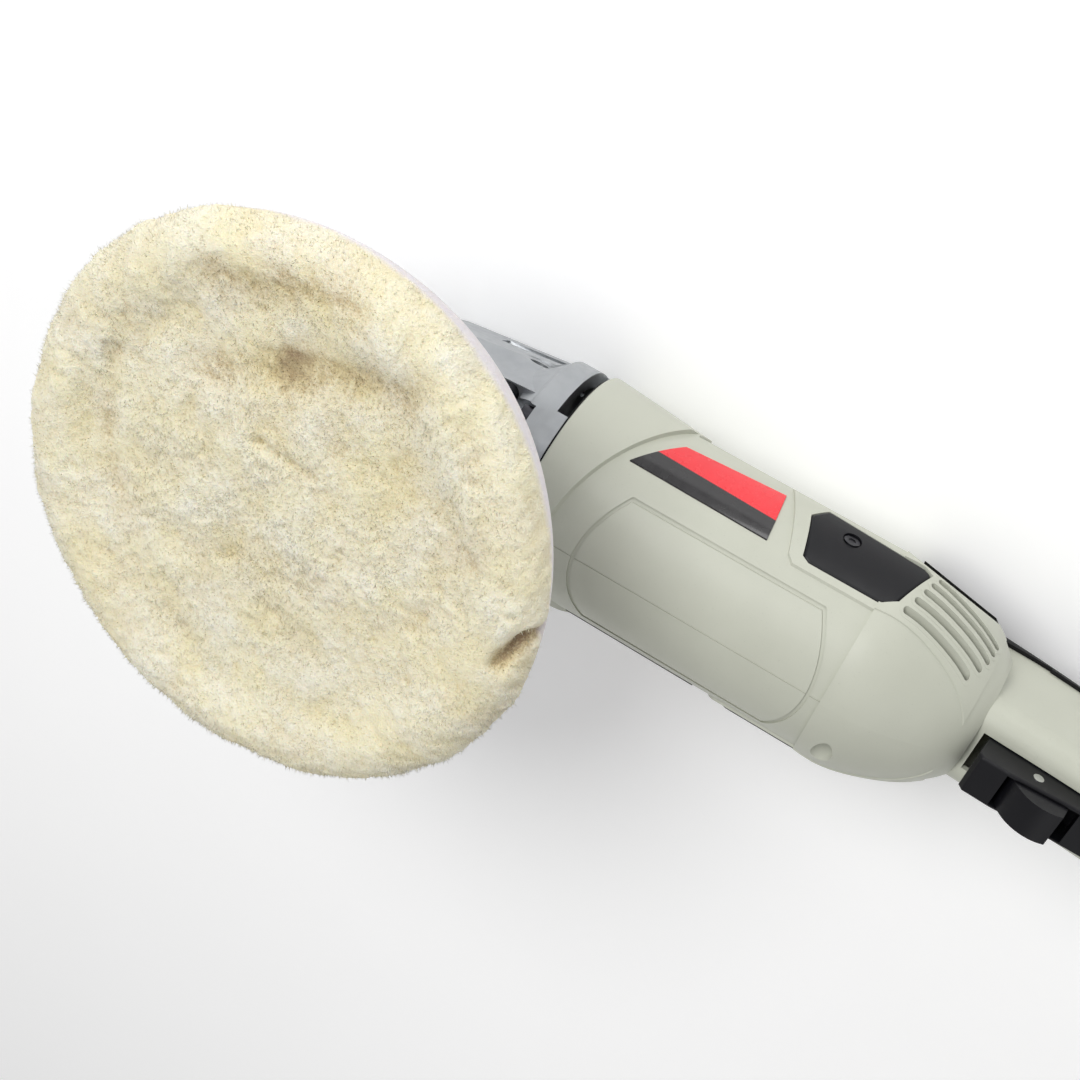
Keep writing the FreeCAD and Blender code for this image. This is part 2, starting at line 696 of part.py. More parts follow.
def carbon_brush():
    body = block(BRUSH_X - 4.5, BRUSH_X + 4.5, 12, 27, MOTOR_Z - 3.2, MOTOR_Z + 3.2)
    return body.cut(xcyl(13.05, 160, 190))


def brush_spring():
    spring = coil_spring(2.3, 0.7, 9.6, 6)
    return placed(spring, (BRUSH_X, 27.1, MOTOR_Z), Y_DIR)


def brush_cap():
    return cyl(5.5, 1.6, (BRUSH_X, 37, MOTOR_Z), Y_DIR).cut(
        block(BRUSH_X - 8, BRUSH_X + 8, 38.0, 41, MOTOR_Z - 0.7, MOTOR_Z + 0.7))


# ---------------------------------------------------------------- rear end and handle
CAP_PROFILE = [(SEAM_X, 45.2), (197, 45.6), (203, 45.5), (208, 44.8), (214, 43.3), (220, 41.3),
               (228, 38.0), (238, 32.0), (246, 24.5)]
VENT_SLOTS = [((203, 24.3), (232, 23.6)), ((204.8, 19.1), (234.6, 18.2)), ((206.2, 13.9), (236, 13.4)),
              ((207.4, 9.1), (236.6, 8.8)), ((209, 4.7), (236.8, 4.6))]
HANDLE_SECTIONS = [(232, 19.6, -32, 21), (262, 19.4, -31.4, 21), (292, 18.8, -29.8, 20),
                   (322, 18.4, -27.8, 21), (352, 18.8, -26.2, 23), (382, 19.2, -25, 24)]
HANDLE_END = 398.0
SHELL_SCREWS = [(275, -19), (333.6, -16), (388, 17), (361, -14)]    # on the level handle
CAP_SCREW = (202.7, 39.0)
PADDLE_PIVOT = (350.0, 19.0)
PADDLE_HALF = 8.5
PADDLE_START = 253.5
LATCH_PIVOT = (274.6, 26.0)
LATCH_HALF = 7.0
LATCH_SLOT = (265.5, 292.5)
SWITCH_X = 312.0
DIAL_X = 376.0
DIAL_Z = -15.5
DIAL_R = 11.5


def cap_solid(grow=0.0):
    """Rounded rear end of the body, grown outwards by a thickness."""
    curve = Part.BSplineCurve()
    curve.interpolate([V(x, 0, r + grow) for x, r in CAP_PROFILE], False)
    first, last = CAP_PROFILE[0], CAP_PROFILE[-1]
    corners = [V(last[0], 0, last[1] + grow), V(last[0], 0, 0), V(first[0], 0, 0), V(first[0], 0, first[1] + grow)]
    edges = [curve.toShape()] + [Part.makeLine(a, b) for a, b in zip(corners, corners[1:])]
    solid = Part.Face(Part.Wire(edges)).revolve(V(0, 0, 0), X_DIR, 360)
    solid.translate(V(0, 0, MOTOR_Z))
    return solid.cut(side_flats(grow))


def rounded_section(x, half, low, high, radius):
    y, r = half, radius
    bend = r * (1 - math.sqrt(0.5))
    points = []
    for sy, sz in ((1, -1), (1, 1), (-1, 1), (-1, -1)):
        edge_z = low if sz < 0 else high
        side = V(x, sy * y, edge_z - sz * r)
        middle = V(x, sy * (y - bend), edge_z - sz * bend)
        end = V(x, sy * (y - r), edge_z)
        points.append((side, middle, end) if sy * sz > 0 else (end, middle, side))
    edges = []
    for k, (first, middle, last) in enumerate(points):
        edges.append(Part.Arc(first, middle, last).toShape())
        edges.append(Part.makeLine(last, points[(k + 1) % 4][0]))
    return Part.Wire(edges)


def grip_solid(grow=0.0):
    """Outer shape of the level handle, grown by a thickness."""
    wires = []
    for x, half, low, high in HANDLE_SECTIONS:
        wires.append(rounded_section(
            x, half + grow, MOTOR_Z + low - grow, MOTOR_Z + high + grow, 9.5 + grow))
    grip = Part.makeLoft(wires, True)
    _, half, low, high = HANDLE_SECTIONS[-1]
    start = rounded_section(
        HANDLE_SECTIONS[-1][0], half + grow, MOTOR_Z + low - grow, MOTOR_Z + high + grow, 9.5 + grow)
    end = Part.Face(start).extrude(V(HANDLE_END + grow - HANDLE_SECTIONS[-1][0], 0, 0))
    end = rounded(end, 5, lambda e: e.CenterOfMass.x > HANDLE_END + grow - 0.1)
    return handle_frame(grip.fuse(end))


def rear_outside(grow=0.0):
    return cap_solid(grow).fuse(grip_solid(grow)).removeSplitter()


def rear_cavity():
    inside = [(x, min(r - WALL, HOUSING_BORE)) for x, r in CAP_PROFILE]
    points = [(x, 0, r) for x, r in inside]
    outline = [(SEAM_X - 1, 0, 0), (SEAM_X - 1, 0, HOUSING_BORE)] + points + [(246, 0, 0)]
    dome = spin_profile(outline, (0, 0, 0), X_DIR)
    dome.translate(V(0, 0, MOTOR_Z))
    return dome.cut(side_flats(-2.0)).fuse(grip_solid(-WALL))


def grip_block(x0, x1, half, z0, z1):
    """Box on the handle's centre plane, leaned with it; heights from the motor axis."""
    return handle_frame(block(x0, x1, -half, half, MOTOR_Z + z0, MOTOR_Z + z1))


def grip_cross(radius, x, z, y0, y1):
    """Cylinder across the handle, leaned with it."""
    return handle_frame(cyl(radius, y1 - y0, (x, y0, MOTOR_Z + z), Y_DIR))


def vent_slot(first, second, width):
    """Round-ended slot across the rear end, from two points seen from the side."""
    (x0, z0), (x1, z1) = first, second
    length = math.hypot(x1 - x0, z1 - z0)
    slot = block(0, length, 14, 60, -width / 2, width / 2)
    for x in (0, length):
        slot = slot.fuse(cyl(width / 2, 46, (x, 14, 0), Y_DIR))
    slot.rotate(V(0, 0, 0), Y_DIR, -math.degrees(math.atan2(z1 - z0, x1 - x0)))
    slot.translate(V(x0, 0, MOTOR_Z + z0))
    return slot


def handle_shells():
    """Left and right clamshell halves of the rear end and the handle."""
    outside = rear_outside()
    cavity = rear_cavity()
    lips = []
    skin = cap_solid(0.6).cut(cap_solid(-1.0))
    for first, second in VENT_SLOTS:
        lips += both_sides(vent_slot(first, second, 5.0).common(skin))
    platform_skin = cap_solid(0.5).common(block(SEAM_X, 240, -60, 60, 0, MOTOR_Z + 28.3))
    ribs = [grip_block(277, 293, 30, 2, 4.5), grip_block(294, 296, 30, -40, 7),
            grip_block(328, 330, 30, -40, 7)]
    bosses = [grip_cross(4.2, x, z, -40, 40) for x, z in SHELL_SCREWS]
    bosses.append(cyl(5.5, 100, (CAP_SCREW[0], -50, MOTOR_Z + CAP_SCREW[1] - 3), Y_DIR))
    body = outside.fuse(lips + [platform_skin]).cut(cavity.cut(ribs + bosses))
    cuts = [grip_block(251, 356, PADDLE_HALF + 0.5, 8, 60)]
    cuts += [grip_cross(1.5, x, z, -14, 12) for x, z in SHELL_SCREWS]
    cuts += [grip_cross(3.9, x, z, -40, -10) for x, z in SHELL_SCREWS]
    cuts.append(cyl(1.5, 44, (CAP_SCREW[0], -24, MOTOR_Z + CAP_SCREW[1]), Y_DIR))
    cuts.append(cyl(3.9, 40, (CAP_SCREW[0], -52, MOTOR_Z + CAP_SCREW[1]), Y_DIR))
    cuts.append(grip_block(DIAL_X - 13, DIAL_X + 13, 3.4, -60, -5))
    cuts.append(grip_cross(1.5, DIAL_X, DIAL_Z, -12, 12))
    cuts.append(grip_cross(2.02, *PADDLE_PIVOT, -15.5, 15.5))
    cuts.append(handle_frame(cyl(8.0, 20, (390, 0, MOTOR_Z), X_DIR)))
    for first, second in VENT_SLOTS:
        cuts += both_sides(vent_slot(first, second, 2.8))
    cover_seat = side_prism(COVER_OUTLINE, 20, 60, 0.15).cut(xcyl(COVER_INNER_R, 150, 210))
    cuts += both_sides(cover_seat)
    body = body.cut(cuts)
    left = body.common(block(SEAM_X, 500, 0, 60, -60, 200))
    right = body.common(block(SEAM_X, 500, -60, 0, -60, 200))
    return largest(left), largest(right)


def largest(shape):
    return max(shape.Solids, key=lambda s: s.Volume)


def rest_strip():
    """Rubber layer over the top of the rear end and the front of the handle."""
    outside = rear_outside()
    layer = rear_outside(STRIP).cut(cap_solid(0.5)).cut(outside)
    cap_part = layer.common(block(200.5, 262, -60, 60, -20, MOTOR_Z - STRIP_DROP))
    grip_part = layer.common(grip_block(258, 345, 60, -60, -STRIP_DROP))
    return largest(fused([cap_part, grip_part]))


def shell_screws():
    screws = []
    for x, z in SHELL_SCREWS:
        one = placed(screw(1.4, 21, 3.3, 2.4), (x, -10, MOTOR_Z + z), -Y_DIR)
        screws.append(handle_frame(one))
    x, z = CAP_SCREW
    screws.append(placed(screw(1.4, 26, 3.3, 2.4), (x, -12, MOTOR_Z + z), -Y_DIR))
    return screws


def paddle_lever():
    """Long lever under the handle; its front end is a square block."""
    outline = [(PADDLE_START, 13), (PADDLE_START, 33), (PADDLE_START + 1.8, 34.8), (266, 34),
               (290, 29.4), (304, 27.4), (335, 26.4), (350, 24.6), (354.5, 21), (354.5, 15), (345, 13)]
    bar = side_prism(outline, -PADDLE_HALF, PADDLE_HALF)
    bar = bar.makeFillet(1.0, [e for e in bar.Edges if e.CenterOfMass.z > MOTOR_Z + 24])
    slot = block(*LATCH_SLOT, -LATCH_HALF - 0.3, LATCH_HALF + 0.3, MOTOR_Z + 17, MOTOR_Z + 40)
    hollow = block(296, 338, -6, 6, MOTOR_Z + 16, MOTOR_Z + 24.5)
    bar = bar.cut([slot, hollow])
    bar = bar.cut(cyl(2.0 + RUN_FIT, 30, (PADDLE_PIVOT[0], -15, MOTOR_Z + PADDLE_PIVOT[1]), Y_DIR))
    bar = bar.cut(cyl(2.0, 30, (LATCH_PIVOT[0], -15, MOTOR_Z + LATCH_PIVOT[1]), Y_DIR))
    return handle_frame(bar)


def paddle_pivot_pin():
    return grip_cross(2.0, *PADDLE_PIVOT, -15, 15)


def latch_pin():
    return grip_cross(2.0, *LATCH_PIVOT, -PADDLE_HALF - 0.2, PADDLE_HALF + 0.2)


def lock_off_latch():
    """Lens-shaped trigger that must be swept back before the paddle can be squeezed."""
    chord_z = MOTOR_Z + 30.0
    front, tip, rear = V(266.3, 0, chord_z), V(288.2, 0, MOTOR_Z + 36), V(288.2, 0, chord_z)
    arc = Part.Arc(front, V(276, 0, MOTOR_Z + 38.4), tip).toShape()
    lens = Part.Face(Part.Wire([arc, Part.makeLine(tip, rear), Part.makeLine(rear, front)]))
    lens = lens.extrude(V(0, 2 * LATCH_HALF, 0))
    lens.translate(V(0, -LATCH_HALF, 0))
    neck = block(267.5, 287.5, -LATCH_HALF, LATCH_HALF, MOTOR_Z + 23.5, chord_z + 0.1)
    barrel = cyl(4.6, 2 * LATCH_HALF, (LATCH_PIVOT[0], -LATCH_HALF, MOTOR_Z + LATCH_PIVOT[1]), Y_DIR)
    body = fused([lens, neck, barrel])
    body = body.cut(cyl(2 + RUN_FIT, 30, (LATCH_PIVOT[0], -15, MOTOR_Z + LATCH_PIVOT[1]), Y_DIR))
    return handle_frame(body)


def latch_spring():
    spring = coil_spring(1.6, 0.6, 6.0, 4)
    return handle_frame(placed(spring, (283, 0, MOTOR_Z + 17.2), Z_DIR))


def paddle_spring():
    spring = coil_spring(2.6, 0.9, 8.2, 5)
    return handle_frame(placed(spring, (290.5, 0, MOTOR_Z + 4.6), Z_DIR))


def switch_body():
    box = block(297, 327, -9, 9, MOTOR_Z - 17, MOTOR_Z + 6)
    box = box.cut(cyl(3.0 + RUN_FIT, 12, (SWITCH_X, 0, MOTOR_Z - 3), Z_DIR))
    tabs = [block(x, x + 1.6, 9, 12, MOTOR_Z - 12, MOTOR_Z - 6) for x in (301, 310, 319)]
    return handle_frame(fused([box] + tabs))


def switch_plunger():
    stem = cyl(3.0, 12.5 - TOUCH, (SWITCH_X, 0, MOTOR_Z + 0.5), Z_DIR)
    return handle_frame(stem)


def speed_control_module():
    base = block(333, 358, -12, 12, MOTOR_Z - 9, MOTOR_Z - 1)
    lid = block(335, 356, -10, 10, MOTOR_Z - 1, MOTOR_Z + 3)
    return handle_frame(fused([base, lid]))


def speed_dial():
    """Knurled thumb wheel that stands a little out of the back of the handle."""
    wheel = cyl(DIAL_R, 6.0, (DIAL_X, -3.0, MOTOR_Z + DIAL_Z), Y_DIR)
    notches = []
    for k in range(20):
        notch = block(-0.6, 0.6, -4, 4, DIAL_R - 0.8, DIAL_R + 1)
        notch.rotate(V(0, 0, 0), Y_DIR, 18 * k)
        notch.translate(V(DIAL_X, 0, MOTOR_Z + DIAL_Z))
        notches.append(notch)
    wheel = wheel.cut(notches)
    return handle_frame(wheel.cut(cyl(1.5 + RUN_FIT, 20, (DIAL_X, -10, MOTOR_Z + DIAL_Z), Y_DIR)))


def dial_pin():
    return grip_cross(1.5, DIAL_X, DIAL_Z, -12, 12)


def cord_inlet():
    """Bush at the end of the handle where the mains lead goes in."""
    bush = Part.makeCylinder(8.0, 12, V(391, 0, MOTOR_Z), X_DIR)
    collar = Part.makeCylinder(10.5, 4, V(398, 0, MOTOR_Z), X_DIR)
    body = bush.fuse(collar).removeSplitter()
    body = body.cut(Part.makeCylinder(4.5, 20, V(388, 0, MOTOR_Z), X_DIR))
    return handle_frame(body)


# ---------------------------------------------------------------- all pieces
def main():
    os.makedirs("parts", exist_ok=True)
    left, right = handle_shells()
    pieces = {
        "wool_bonnet": [wool_bonnet()],
        "backing_pad": [backing_pad()],
        "backing_pad_nut": [backing_pad_nut()],
        "spindle": [spindle()],
        "bevel_gear": [bevel_gear()],
        "bevel_pinion": [bevel_pinion()],
        "gear_case": [gear_case()],
        "spindle_upper_bearing": [spindle_upper_bearing()],
        "spindle_lower_bearing": [spindle_lower_bearing()],
        "bearing_box": [bearing_box()],
        "oil_seal": [oil_seal()],
        "bearing_box_screws": bearing_box_screws(),
        "gear_case_screws": gear_case_screws(),
        "bearing_retainer": [bearing_retainer()],
        "spindle_lock_button": [spindle_lock_button()],
        "spindle_lock_pin": [spindle_lock_pin()],
        "spindle_lock_spring": [spindle_lock_spring()],
        "front_motor_bearing": [placed(ball_bearing(15, 6, 10, 8), (FRONT_BEARING_X, 0, MOTOR_Z), X_DIR)],
        "rear_motor_bearing": [placed(ball_bearing(11, 4, 7, 7), (REAR_BEARING_X, 0, MOTOR_Z), X_DIR)],
        "armature_shaft": [armature_shaft()],
        "armature_core": [armature_core()],
        "armature_windings": armature_windings(),
        "commutator": [commutator()],
        "cooling_fan": [cooling_fan()],
        "stator_core": [stator_core()],
        "field_coils": field_coils(),
        "fan_baffle": [fan_baffle()],
        "gasket": [gasket()],
        "motor_housing": [motor_housing()],
        "brush_cover_left": [brush_cover()],
        "brush_cover_right": [mirrored(brush_cover())],
        "brush_cover_screws": brush_cover_screws(),
        "brush_holders": both_sides(brush_holder()),
        "carbon_brushes": both_sides(carbon_brush()),
        "brush_springs": both_sides(brush_spring()),
        "brush_caps": both_sides(brush_cap()),
        "label_plate_left": [label_plate()],
        "label_plate_right": [mirrored(label_plate())],
        "handle_shell_left": [left],
        "handle_shell_right": [right],
        "shell_screws": shell_screws(),
        "rest_strip": [rest_strip()],
        "paddle_lever": [paddle_lever()],
        "paddle_pivot_pin": [paddle_pivot_pin()],
        "paddle_spring": [paddle_spring()],
        "lock_off_latch": [lock_off_latch()],
        "latch_pin": [latch_pin()],
        "latch_spring": [latch_spring()],
        "switch_body": [switch_body()],
        "switch_plunger": [switch_plunger()],
        "speed_control_module": [speed_control_module()],
        "speed_dial": [speed_dial()],
        "dial_pin": [dial_pin()],
        "cord_inlet": [cord_inlet()],
    }
    for name, shapes in pieces.items():
        save(name, shapes)


main()
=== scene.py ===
import json
import math
import bpy
import numpy as np
from mathutils import Matrix, Vector


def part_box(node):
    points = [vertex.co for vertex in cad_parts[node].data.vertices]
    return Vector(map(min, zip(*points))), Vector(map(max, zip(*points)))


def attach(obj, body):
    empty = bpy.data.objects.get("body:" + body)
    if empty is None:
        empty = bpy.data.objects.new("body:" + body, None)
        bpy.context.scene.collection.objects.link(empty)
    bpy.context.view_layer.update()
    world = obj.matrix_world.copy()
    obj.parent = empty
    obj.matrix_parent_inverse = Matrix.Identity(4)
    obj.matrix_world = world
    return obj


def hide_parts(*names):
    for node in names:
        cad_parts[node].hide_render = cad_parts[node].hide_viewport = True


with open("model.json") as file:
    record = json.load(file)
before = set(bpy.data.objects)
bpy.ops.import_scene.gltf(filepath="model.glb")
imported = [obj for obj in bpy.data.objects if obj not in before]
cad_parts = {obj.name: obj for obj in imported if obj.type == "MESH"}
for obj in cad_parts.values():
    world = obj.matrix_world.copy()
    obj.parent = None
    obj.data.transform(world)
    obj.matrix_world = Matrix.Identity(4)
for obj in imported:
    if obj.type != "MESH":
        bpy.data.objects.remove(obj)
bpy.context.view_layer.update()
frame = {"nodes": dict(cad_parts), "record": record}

MM = 0.001                   # metres in a millimetre
NODES = frame["nodes"]

# Places taken from the frame
MOTOR_Z = (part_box("armature_core")[0][2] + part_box("armature_core")[1][2]) / 2
bonnet_low, bonnet_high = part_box("wool_bonnet")
BONNET_R = (bonnet_high[0] - bonnet_low[0]) / 2 / MM
BONNET_TOP = bonnet_high[2] / MM


# ---------------------------------------------------------------- noise for mesh work
class Noise:
    """Smooth repeatable value noise on a cubic lattice."""

    SIZE = 64
    SHIFT = 19.37                # keeps the tool away from the lattice's origin

    def __init__(self, seed):
        self.table = np.random.RandomState(seed).rand(self.SIZE, self.SIZE, self.SIZE) * 2 - 1

    def at(self, points, scale):
        """Values in -1..1 at points in millimetres; scale is the size of a bump."""
        p = points / scale + self.SHIFT
        cell = np.floor(p).astype(int)
        f = p - cell
        f = f * f * (3 - 2 * f)
        total = np.zeros(len(points))
        for dx in (0, 1):
            wx = f[:, 0] if dx else 1 - f[:, 0]
            for dy in (0, 1):
                wy = f[:, 1] if dy else 1 - f[:, 1]
                for dz in (0, 1):
                    wz = f[:, 2] if dz else 1 - f[:, 2]
                    i, j, k = ((cell + (dx, dy, dz)) % self.SIZE).T
                    total += wx * wy * wz * self.table[i, j, k]
        return total


# ---------------------------------------------------------------- wool bonnet
NAP_ROOM = 1.6               # mm left inside the bonnet's radius for the nap
# Outline of the stuffed cover as (radius, depth below its top), in millimetres
FACE_OUTLINE = [
    (0, 6.8), (30, 6.8), (58, 6.6), (72, 5.8), (79, 4.0), (85, 2.0), (91, 1.1), (97, 2.4), (102, 5.6),
    (104.8, 9.6), (BONNET_R - NAP_ROOM, 14), (104.9, 18.6), (102.0, 25), (98.4, 31.5), (95, 37.2),
    (91, 43), (86.6, 48.6), (83, 50.7)]
# The part of the skin that closes the cover over the backing pad
HIDDEN_OUTLINE = [(79.2, 50.5), (79.2, 48.3), (88.2, 42), (88.2, 23.9), (40, 23.9)]
WOOL_AROUND = 620            # points round the cover
WOOL_STEP = 1.05             # mm between the rings of points
CENTRE_RADIUS = 0.3          # radius of the first ring, which is not a single point
HIDE_START = 15.0            # mm below the top where the wool gives way to hide
WOOL_END = HIDE_START + 3.0  # mm below the top where the wool has gone
WOOL_FADE = 4.0              # mm over which it goes
DENT_LIMIT = 30.0            # mm below the top beyond which there are no dents
# Widths of the bumps in the nap, and their heights, in millimetres
BUMP_BROAD, BUMP_MIDDLE, BUMP_SWIRL, BUMP_TUFT, BUMP_FINE = 34, 12, 21, 3.6, 1.7
HIGH_BROAD, HIGH_MIDDLE, HIGH_TUFT, HIGH_FINE = 1.2, 0.9, 0.55, 0.35
TUFT_STRETCH = (1.0, 1.0, 0.7)
SWIRL_REACH = 3.5            # mm by which the swirl shifts the tufts
FIBRE_COUNT = 46000
FIBRE_SPREAD = 0.5           # mm by which a root may lie off the skin's point
FIBRE_LEAN = 0.45            # spread of each tuft's own lean
FIBRE_DRIFT = 0.9            # how strongly neighbouring tufts lean together
FIBRE_HALF = 0.2             # half the width of a tuft of fibre at its root
FIBRE_SINK = 0.8             # how far its root is sunk into the nap
FIBRE_TALL = (1.2, 2.6)      # shortest and longest tuft
FIBRE_CURL = 14              # size of the areas over which the tufts lean one way
# Dents in the pile, which also darken the wool's colour as painted shade: from, to (mm from the spindle
# axis), half width, depth
DENTS = [
    ((-36, 41), (-5, 58), 8.5, 2.2), ((-5, 60), (36, 72), 9.5, 2.6), ((-41, 76), (12, 92), 8.0, 2.0),
    ((-69, 0), (-71, 30), 3.5, 1.6), ((-60, -24), (-70, -4), 3.5, 1.4), ((-39, 20), (-38, 24), 4.4, 1.8),
    ((-11, 27), (13, 25), 2.0, 1.5), ((98, 1), (103, 14), 3.0, 4.4), ((-13, -25), (-9, -22), 3.2, 1.1),
    ((8, -36), (14, -35), 4.0, 1.0), ((30, -5), (31, 3), 2.2, 1.0), ((60, 44), (76, 30), 6.0, 1.3),
    ((40, -66), (62, -52), 6.0, 0.9), ((-55, 52), (-48, 62), 5.5, 1.6), ((18, 40), (44, 46), 12.0, 1.0),
    ((-30, -62), (-12, -72), 5.0, 0.8), ((66, -6), (70, 12), 4.0, 0.9), ((70, 60), (60, 74), 5.0, 1.2),
]


def smooth_line(points, step):
    """Catmull-Rom line through the points, sampled about every step."""
    p = np.array(points, float)
    p = np.vstack([2 * p[0] - p[1], p, 2 * p[-1] - p[-2]])
    out = []
    for k in range(1, len(p) - 2):
        a, b, c, d = p[k - 1:k + 3]
        count = max(1, int(round(np.linalg.norm(c - b) / step)))
        for t in np.arange(count) / count:
            out.append(0.5 * (2 * b + (c - a) * t + (2 * a - 5 * b + 4 * c - d) * t ** 2
                              + (3 * b - 3 * c + d - a) * t ** 3))
    out.append(p[-2])
    return np.array(out)


def dent_depth(x, y):
    """How far the dents push the pile in, in millimetres; the same depth also darkens the wool's colour as
    painted shade.
    """
    depth = np.zeros(len(x))
    for (x0, y0), (x1, y1), width, deep in DENTS:
        along = np.array([x1 - x0, y1 - y0], float)
        length = np.linalg.norm(along)
        along /= length
        u = (x - x0) * along[0] + (y - y0) * along[1]
        across = (x - x0) * along[1] - (y - y0) * along[0]
        past = np.maximum(0, np.maximum(-u, u - length))
        depth += deep * np.exp(-(across ** 2 + past ** 2) / width ** 2)
    return depth


def ring_turns():
    return np.arange(WOOL_AROUND) * 2 * math.pi / WOOL_AROUND


def wool_surface():
    """Outline of the plain bonnet, with the points and outward normals of its skin."""
    line = smooth_line([(r, BONNET_TOP - d) for r, d in FACE_OUTLINE], WOOL_STEP)
    line[0, 0] = CENTRE_RADIUS
    tangent = np.gradient(line, axis=0)
    tangent /= np.linalg.norm(tangent, axis=1)[:, None]
    normal = np.stack([-tangent[:, 1], tangent[:, 0]], axis=1)
    if normal[0, 1] < 0:
        normal = -normal
    turn = ring_turns()
    cos, sin = np.cos(turn), np.sin(turn)
    r, z = line[:, 0][:, None], line[:, 1][:, None]
    points = np.stack([r * cos, r * sin, z + 0 * cos], axis=2).reshape(-1, 3)
    nr, nz = normal[:, 0][:, None], normal[:, 1][:, None]
    normals = np.stack([nr * cos, nr * sin, nz + 0 * cos], axis=2).reshape(-1, 3)
    return line, points, normals


def noise_vector(noise, points, scale, order):
    """Three values at each point, from the same noise read in three ways."""
    return np.stack([noise.at(points, scale), noise.at(points[:, order], scale), noise.at(-points, scale)], 1)


def wool_lift(points):
    """Height of the pile over the plain outline in millimetres, a colour value with painted shade in the
    hollows and dents and painted light on the raised tufts, and wool share.
    """
    depth_below = BONNET_TOP - points[:, 2]
    wool = np.clip((WOOL_END - depth_below) / WOOL_FADE, 0, 1)
    broad, clump, tuft, fine = Noise(3), Noise(5), Noise(8), Noise(13)
    stretch = points * np.array(TUFT_STRETCH)
    warped = stretch + noise_vector(clump, points, BUMP_SWIRL, [1, 2, 0]) * SWIRL_REACH
    tufts = tuft.at(warped, BUMP_TUFT)
    small = fine.at(warped, BUMP_FINE)
    middle = broad.at(points, BUMP_MIDDLE)
    dents = dent_depth(points[:, 0], points[:, 1]) * (depth_below < DENT_LIMIT)
    lift = broad.at(points, BUMP_BROAD) * HIGH_BROAD + middle * HIGH_MIDDLE + tufts * HIGH_TUFT
    lift = lift + small * HIGH_FINE
    lift = (lift - dents) * wool
    # Painted shade and light: the colour value rises with the same bumps that lift the pile and falls in the
    # dents, so hollows come out darker and raised tufts paler.
    relief_shade_and_tone = 0.6 + 0.11 * tufts + 0.1 * small + 0.14 * middle - 0.13 * dents
    return lift, np.clip(relief_shade_and_tone, 0, 1), wool


def add_mesh(name, points, faces, body):
    """A smooth-shaded mesh from points in millimetres, on its body."""
    mesh = bpy.data.meshes.new(name)
    mesh.from_pydata((points * MM).tolist(), [], faces)
    mesh.update()
    mesh.polygons.foreach_set("use_smooth", np.ones(len(mesh.polygons), bool))
    obj = bpy.data.objects.new(name, mesh)
    bpy.context.scene.collection.objects.link(obj)
    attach(obj, body)
    return obj


def add_value(mesh, name, values):
    layer = mesh.attributes.new(name, "FLOAT", "POINT")
    layer.data.foreach_set("value", np.asarray(values, np.float32))


def wool_cover():
    """Stuffed cover of the backing pad, as one closed skin."""
    around = WOOL_AROUND
    line, points, normals = wool_surface()
    lift, relief_shade_and_tone, wool = wool_lift(points)
    points = points + normals * lift[:, None]
    hidden = []
    turn = ring_turns()
    for radius, below in HIDDEN_OUTLINE:
        ring = np.stack([radius * np.cos(turn), radius * np.sin(turn), 0 * turn + BONNET_TOP - below], 1)
        hidden.append(ring)
    points = np.vstack([points] + hidden)
    relief_shade_and_tone = np.concatenate([relief_shade_and_tone, np.full(around * len(hidden), 0.5)])
    wool = np.concatenate([wool, np.zeros(around * len(hidden))])
    total = len(line) + len(hidden)
    base = np.arange(around)
    after = (base + 1) % around
    faces = []
    for k in range(total - 1):
        a, b = base + k * around, after + k * around
        c, d = after + (k + 1) * around, base + (k + 1) * around
        faces += np.stack([a, d, c, b], 1).tolist()
    faces.append(base.tolist())
    faces.append((base[::-1] + (total - 1) * around).tolist())
    obj = add_mesh("wool_cover", points, faces, "pad_and_spindle")
    # The cover's colour value, with painted shade in its hollows and dents and painted light on its raised
    # tufts.
    add_value(obj.data, "relief_shade_and_tone", relief_shade_and_tone)
    add_value(obj.data, "wool", wool)
    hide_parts("wool_bonnet")
    return obj


def wool_fibres():
    """Single tufts of fibre standing in the pile, each a slim closed spike."""
    rng = np.random.RandomState(21)
    count = FIBRE_COUNT
    _, points, normals = wool_surface()
    radius = np.hypot(points[:, 0], points[:, 1])
    keep = np.where(BONNET_TOP - points[:, 2] < HIDE_START)[0]
    share = radius[keep] / radius[keep].sum()
    chosen = rng.choice(keep, count, replace=False, p=share)
    root = points[chosen] + rng.uniform(-FIBRE_SPREAD, FIBRE_SPREAD, (count, 3))
    out = normals[chosen]
    lift, relief_shade_and_tone, wool = wool_lift(root)
    root = root + out * (lift - FIBRE_SINK)[:, None]
    lean = rng.normal(0, FIBRE_LEAN, (count, 3))
    drift = noise_vector(Noise(31), root, FIBRE_CURL, [2, 0, 1])
    way = out + lean + drift * FIBRE_DRIFT
    way /= np.linalg.norm(way, axis=1)[:, None]
    tall = rng.uniform(*FIBRE_TALL, count)
    side = np.cross(way, rng.normal(0, 1, (count, 3)))
    side /= np.linalg.norm(side, axis=1)[:, None]
    other = np.cross(way, side)
    back = root - side * FIBRE_HALF * 0.5
    apart = other * FIBRE_HALF * 0.87
    corners = [root + side * FIBRE_HALF, back + apart, back - apart, root + way * tall[:, None]]
    spikes = np.stack(corners, 1).reshape(-1, 3)
    first = np.arange(count) * 4
    faces = np.concatenate([
        np.stack([first, first + 2, first + 1], 1), np.stack([first, first + 1, first + 3], 1),
        np.stack([first + 1, first + 2, first + 3], 1), np.stack([first + 2, first, first + 3], 1)])
    obj = add_mesh("wool_fibres", spikes, faces.tolist(), "pad_and_spindle")
    # Each tuft takes the painted shade or light of its root, plus a random tone of its own.
    add_value(obj.data, "relief_shade_and_tone", np.repeat(relief_shade_and_tone + rng.uniform(-0.08, 0.14, count), 4))
    add_value(obj.data, "wool", np.repeat(wool, 4))
    return obj


# ---------------------------------------------------------------- materials
def linear(red, green, blue):
    """Scene colour of an 8-bit display colour."""
    out = []
    for value in (red, green, blue):
        c = value / 255
        out.append(c / 12.92 if c <= 0.04045 else ((c + 0.055) / 1.055) ** 2.4)
    return (*out, 1.0)


